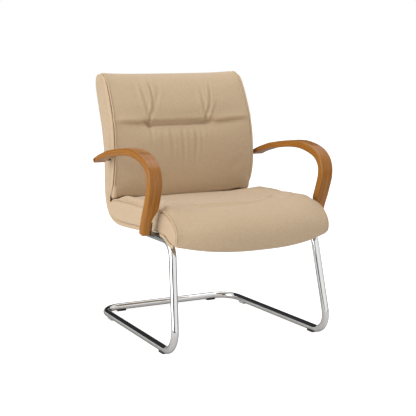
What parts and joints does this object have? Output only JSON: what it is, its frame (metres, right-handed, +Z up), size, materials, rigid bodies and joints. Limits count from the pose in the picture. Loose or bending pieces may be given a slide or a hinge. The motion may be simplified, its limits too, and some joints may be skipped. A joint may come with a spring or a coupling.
{
  "type": "sled base visitor chair",
  "caption": "Visitor chair with a bent tube sled base, an upholstered seat and back on a moulded plywood shell, and bent wooden arms.",
  "frame": {"origin": "on the floor under the middle of the chair's outline", "axes": "+Z up, the sitter faces -Y, +X towards the sitter's left arm, and the chair is mirrored about X = 0"},
  "size_m": [0.67, 0.7332, 0.8737],
  "materials": {
    "chrome": "polished chrome plating on steel tube",
    "bracket_steel": "dark oxide and black paint on steel",
    "zinc": "zinc plated fasteners",
    "glide_black": "moulded black plastic",
    "glide_grey": "moulded pale grey plastic",
    "arm_wood": "honey coloured laminated wood, satin lacquer",
    "plywood": "raw moulded plywood",
    "upholstery": "beige fine woven upholstery with corded welts",
    "foam": "cut polyurethane foam"
  },
  "bodies": {
    "root": {"sled_frame": "chrome", "frame_joint_sleeve": "bracket_steel", "plywood_shell": "plywood", "outer_cover": "upholstery", "seat_cover": "upholstery", "seat_foam": "foam", "back_cover": "upholstery", "back_foam": "foam", "front_glide_right": "glide_black", "front_glide_left": "glide_black", "side_glide_right": "glide_grey", "side_glide_left": "glide_grey", "rear_glide_right": "glide_black", "rear_glide_left": "glide_black", "side_band_right": "upholstery", "side_band_left": "upholstery", "seat_welt_right": "upholstery", "seat_welt_left": "upholstery", "back_welt_right": "upholstery", "back_welt_left": "upholstery", "arm_right": "arm_wood", "arm_left": "arm_wood", "arm_bracket_right": "bracket_steel", "arm_bracket_left": "bracket_steel", "back_bracket_right": "bracket_steel", "back_bracket_left": "bracket_steel", "rear_plate_right": "bracket_steel", "rear_plate_left": "bracket_steel", "arm_bolt_right": "bracket_steel", "arm_bolt_left": "bracket_steel", "arm_bush_right": "bracket_steel", "arm_bush_left": "bracket_steel", "arm_screw_1_right": "zinc", "arm_screw_1_left": "zinc", "arm_screw_2_right": "zinc", "arm_screw_2_left": "zinc", "bracket_screw_1_right": "zinc", "bracket_screw_1_left": "zinc", "bracket_screw_2_right": "zinc", "bracket_screw_2_left": "zinc", "shell_bolt_1_right": "zinc", "shell_bolt_1_left": "zinc", "shell_bolt_2_right": "zinc", "shell_bolt_2_left": "zinc", "shell_bolt_3_right": "zinc", "shell_bolt_3_left": "zinc", "shell_bolt_4_right": "zinc", "shell_bolt_4_left": "zinc", "tee_nut_1_right": "zinc", "tee_nut_1_left": "zinc", "tee_nut_2_right": "zinc", "tee_nut_2_left": "zinc", "tee_nut_3_right": "zinc", "tee_nut_3_left": "zinc", "tee_nut_4_right": "zinc", "tee_nut_4_left": "zinc"}
  },
  "joints": []
}
